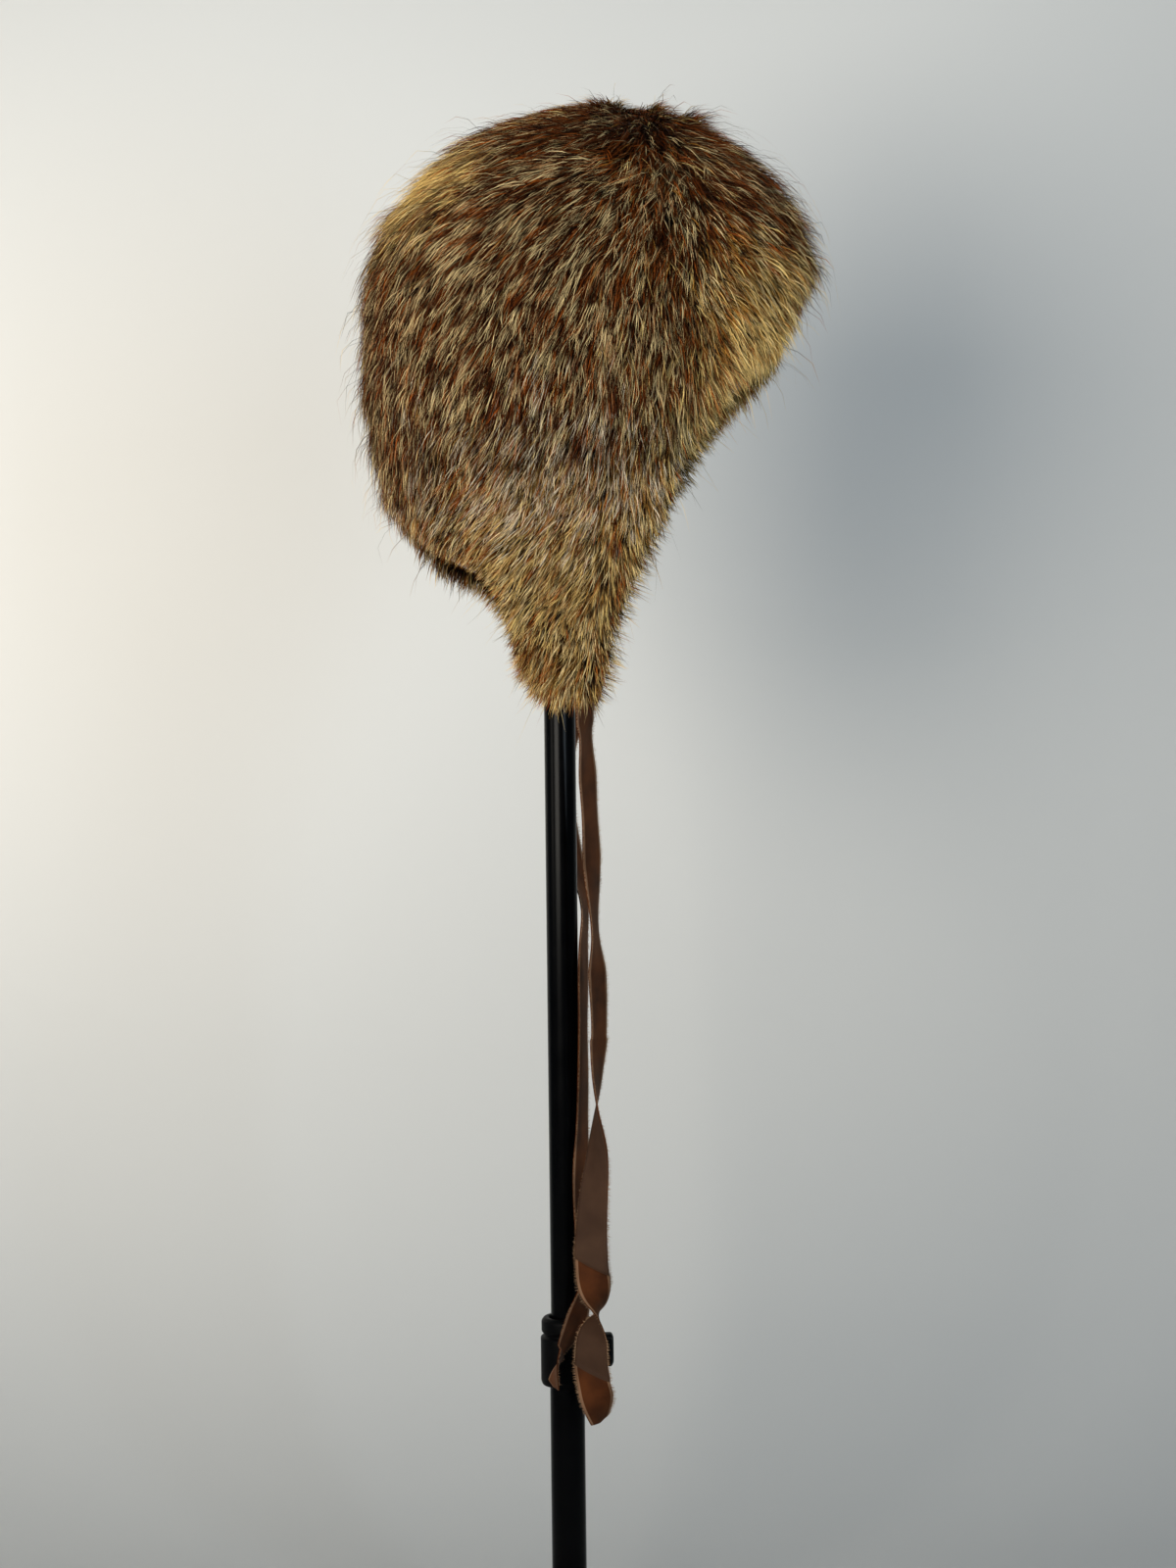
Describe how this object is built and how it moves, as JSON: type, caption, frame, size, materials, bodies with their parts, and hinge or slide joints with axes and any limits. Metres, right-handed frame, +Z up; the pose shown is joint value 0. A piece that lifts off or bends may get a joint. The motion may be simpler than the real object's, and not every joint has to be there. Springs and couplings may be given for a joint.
{
  "type": "fur ear-flap hat (ushanka) on a telescoping pole stand",
  "caption": "Fur ear-flap hat with its flaps down and two velvet ribbon ties, held up on a black telescoping pole stand with a round base.",
  "frame": {"origin": "middle of the underside of the stand's round base, on the axis of the pole", "axes": "+Z up along the pole, +X towards the hat's front, +Y to the wearer's left"},
  "size_m": [0.276, 0.26, 0.8713],
  "materials": {
    "crown_fur": "long red-brown guard hair with cream tips over dense grey underfur",
    "flap_fur": "shorter tan and ochre fur with pale tips",
    "lining_cloth": "matt mauve-brown quilted cloth",
    "velvet_ribbon": "brown velvet pile on one side and matt taupe weave on the other",
    "black_tube": "satin black coating",
    "black_plastic": "fine-grained matt black"
  },
  "bodies": {
    "root": {"front_panel_fur": "crown_fur", "right_side_fur": "crown_fur", "left_side_fur": "crown_fur", "back_panel_fur": "crown_fur", "right_flap_fur": "flap_fur", "left_flap_fur": "flap_fur", "nape_flap_fur": "flap_fur", "crown_lining": "lining_cloth", "right_flap_lining": "lining_cloth", "left_flap_lining": "lining_cloth", "nape_flap_lining": "lining_cloth", "right_tie": "velvet_ribbon", "left_tie": "velvet_ribbon", "stand_base": "black_tube", "foot_socket": "black_tube", "lower_pole": "black_tube", "upper_pole": "black_tube", "pole_cap": "black_plastic", "clamp_collar": "black_plastic", "clamp_knob": "black_plastic"}
  },
  "joints": []
}
